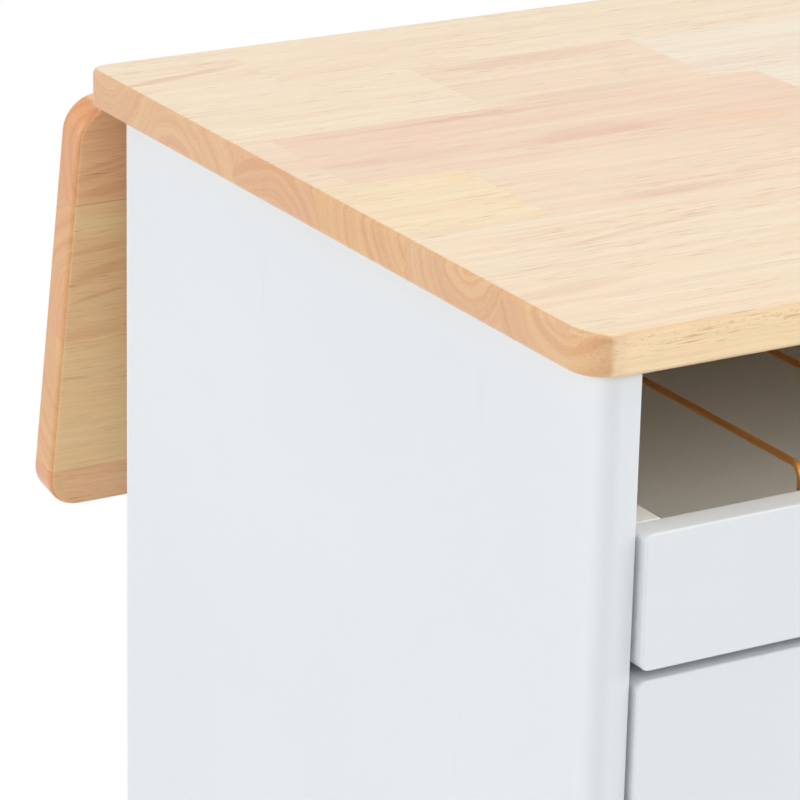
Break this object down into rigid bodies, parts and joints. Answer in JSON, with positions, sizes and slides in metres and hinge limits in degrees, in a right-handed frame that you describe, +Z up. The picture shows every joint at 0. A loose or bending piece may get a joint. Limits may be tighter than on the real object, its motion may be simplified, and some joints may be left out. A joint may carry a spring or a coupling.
{
  "type": "drop leaf kitchen island",
  "caption": "Free-standing kitchen island with a butcher-block worktop, a drop leaf on folding stays along its back, and low open-topped drawers over inset cupboard doors.",
  "frame": {"origin": "on the floor, in the middle of the overall length and depth with the leaf hanging", "axes": "+X along the worktop, -Y out of the front where the drawers and doors open, +Y towards the drop leaf, +Z up"},
  "size_m": [1.1, 0.507, 0.9],
  "materials": {
    "worktop_wood": "finger-jointed pale hardwood staves, clear satin oil",
    "leaf_wood": "the same staves on the leaf, a little warmer, clear satin oil",
    "white_lacquer": "white satin lacquer on board",
    "inner_lacquer": "white matt lacquer on board",
    "brass": "brushed brass plating",
    "zinc_steel": "bright zinc-plated sheet and bar",
    "foot_plastic": "dark moulded plastic",
    "catch_plastic": "white moulded plastic"
  },
  "bodies": {
    "cabinet": {"countertop": "worktop_wood", "left_side_panel": "white_lacquer", "right_side_panel": "white_lacquer", "centre_partition": "white_lacquer", "bottom_panel": "white_lacquer", "back_panel": "white_lacquer", "back_rail": "white_lacquer", "left_deck": "inner_lacquer", "right_deck": "inner_lacquer", "left_shelf": "inner_lacquer", "right_shelf": "inner_lacquer", "shelf_pins": "zinc_steel", "left_runners": "inner_lacquer", "right_runners": "inner_lacquer", "feet": "foot_plastic", "top_brackets": "zinc_steel", "left_door_catch": "catch_plastic", "right_door_catch": "catch_plastic", "left_door_jamb_hinges": "zinc_steel", "right_door_jamb_hinges": "zinc_steel", "left_door_hinge_pins": "zinc_steel", "right_door_hinge_pins": "zinc_steel", "top_hinges": "zinc_steel", "leaf_hinge_pins": "zinc_steel", "left_stay_bracket": "zinc_steel", "right_stay_bracket": "zinc_steel", "left_stay_pin": "zinc_steel", "right_stay_pin": "zinc_steel"},
    "drawer_left": {"left_drawer_front": "white_lacquer", "left_drawer_sides": "inner_lacquer", "left_drawer_back": "inner_lacquer", "left_drawer_bottom": "inner_lacquer", "left_drawer_rack": "brass"},
    "drawer_right": {"right_drawer_front": "white_lacquer", "right_drawer_sides": "inner_lacquer", "right_drawer_back": "inner_lacquer", "right_drawer_bottom": "inner_lacquer", "right_drawer_rack": "brass"},
    "door_left": {"left_door": "white_lacquer", "left_door_knob": "brass", "left_door_hinges": "zinc_steel", "left_door_strike": "zinc_steel"},
    "door_right": {"right_door": "white_lacquer", "right_door_knob": "brass", "right_door_hinges": "zinc_steel", "right_door_strike": "zinc_steel"},
    "leaf": {"drop_leaf": "leaf_wood", "leaf_hinges": "zinc_steel", "left_leaf_track": "zinc_steel", "right_leaf_track": "zinc_steel"},
    "stay_left": {"left_stay": "zinc_steel"},
    "stay_right": {"right_stay": "zinc_steel"}
  },
  "joints": [
    {"name": "drawer_left_slide", "type": "slide", "parent": "cabinet", "child": "drawer_left", "axis": [0, -1, 0], "range_m": [0, 0.27]},
    {"name": "door_left_swing", "type": "hinge", "parent": "cabinet", "child": "door_left", "pos_m": [-0.523, -0.23147, 0.4], "axis": [0, 0, -1], "range_deg": [0, 100]},
    {"name": "drawer_right_slide", "type": "slide", "parent": "cabinet", "child": "drawer_right", "axis": [0, -1, 0], "range_m": [0, 0.27]},
    {"name": "door_right_swing", "type": "hinge", "parent": "cabinet", "child": "door_right", "pos_m": [0.523, -0.23147, 0.4], "axis": [0, 0, 1], "range_deg": [0, 100]},
    {"name": "leaf_lift", "type": "hinge", "parent": "cabinet", "child": "leaf", "pos_m": [0, 0.19353, 0.878], "axis": [1, 0, 0], "range_deg": [0, 79.55]},
    {"name": "stay_left_swing", "type": "hinge", "parent": "cabinet", "child": "stay_left", "pos_m": [-0.3, 0.17803, 0.803], "axis": [1, 0, 0], "range_deg": [0, 101.81]},
    {"name": "stay_right_swing", "type": "hinge", "parent": "cabinet", "child": "stay_right", "pos_m": [0.3, 0.17803, 0.803], "axis": [1, 0, 0], "range_deg": [0, 101.81]}
  ],
  "couplings": [
    {"joint": "stay_left_swing", "follows": "leaf_lift", "ratio": 1.2798},
    {"joint": "stay_right_swing", "follows": "leaf_lift", "ratio": 1.2798}
  ]
}
